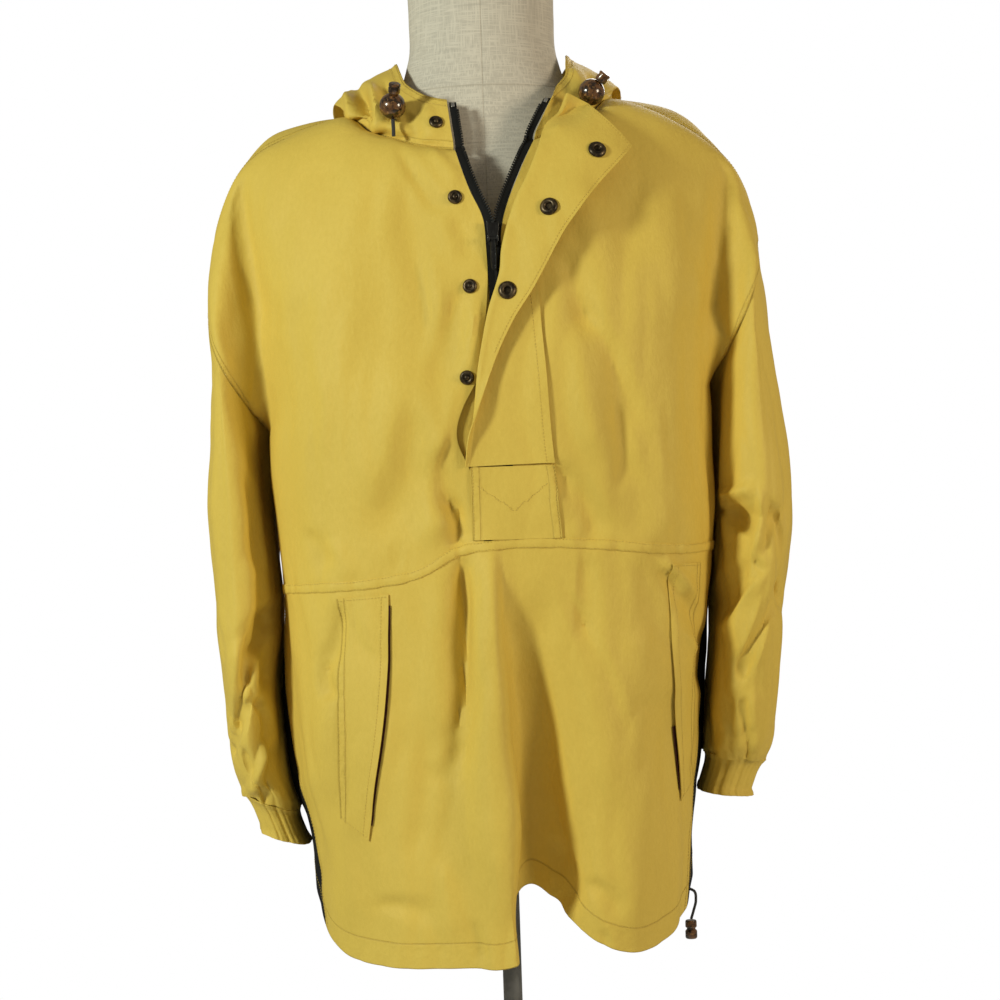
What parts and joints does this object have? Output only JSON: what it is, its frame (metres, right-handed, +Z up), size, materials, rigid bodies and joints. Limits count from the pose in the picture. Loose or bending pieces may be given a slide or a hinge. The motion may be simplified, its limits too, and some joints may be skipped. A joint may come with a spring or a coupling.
{
  "type": "anorak pullover on a limbless dress form with a stand",
  "caption": "Hooded half-zip anorak pullover with a folded-back storm flap, gathered cuffs and a drawn hem, worn by a limbless linen dress form on a pole and round base.",
  "frame": {"origin": "centre of the underside of the round base", "axes": "+Z up, +X to the wearer's left, the front faces -Y"},
  "size_m": [0.5202, 0.3789, 1.4543],
  "materials": {
    "yellow_cloth": "dry waxed cotton look, greenish yellow",
    "black_cloth": "matt black webbing and stretch cloth",
    "black_metal": "satin black coated zip metal",
    "bright_metal": "bright stop",
    "antique_brass": "dark antique",
    "tortoiseshell": "brown tortoiseshell",
    "linen": "slubbed off-white linen over a hard shell",
    "grey_steel": "satin grey"
  },
  "bodies": {
    "garment_on_form": {"front_upper_right": "yellow_cloth", "front_upper_left": "yellow_cloth", "front_lower": "yellow_cloth", "back": "yellow_cloth", "sleeve_right": "yellow_cloth", "sleeve_left": "yellow_cloth", "cuff_right": "yellow_cloth", "cuff_left": "yellow_cloth", "hood_right": "yellow_cloth", "hood_centre": "yellow_cloth", "hood_left": "yellow_cloth", "storm_flap": "yellow_cloth", "placket_base": "yellow_cloth", "placket_facing": "yellow_cloth", "waist_band": "yellow_cloth", "pocket_welt_right": "yellow_cloth", "pocket_welt_left": "yellow_cloth", "side_panel_right": "black_cloth", "side_panel_left": "black_cloth", "zip_tape_right": "black_cloth", "zip_tape_left": "black_cloth", "hood_cord": "black_cloth", "hem_cord": "black_cloth", "zip_slider": "black_metal", "zip_stop_right": "bright_metal", "zip_stop_left": "bright_metal", "stud_1": "antique_brass", "stud_2": "antique_brass", "stud_3": "antique_brass", "stud_4": "antique_brass", "socket_1": "antique_brass", "socket_2": "antique_brass", "socket_3": "antique_brass", "hood_lock_right": "tortoiseshell", "hood_lock_left": "tortoiseshell", "hood_plunger_right": "tortoiseshell", "hood_plunger_left": "tortoiseshell", "hem_lock": "tortoiseshell", "form_torso": "linen", "form_neck_cap": "linen", "stand_pole": "grey_steel", "stand_base": "grey_steel"},
    "pull_tab": {"zip_pull_tab": "black_metal"}
  },
  "joints": [
    {"name": "pull_tab_hinge", "type": "hinge", "parent": "garment_on_form", "child": "pull_tab", "pos_m": [0.0045, -0.14057, 1.19], "axis": [-1, 0, 0], "range_deg": [0, 160]}
  ]
}
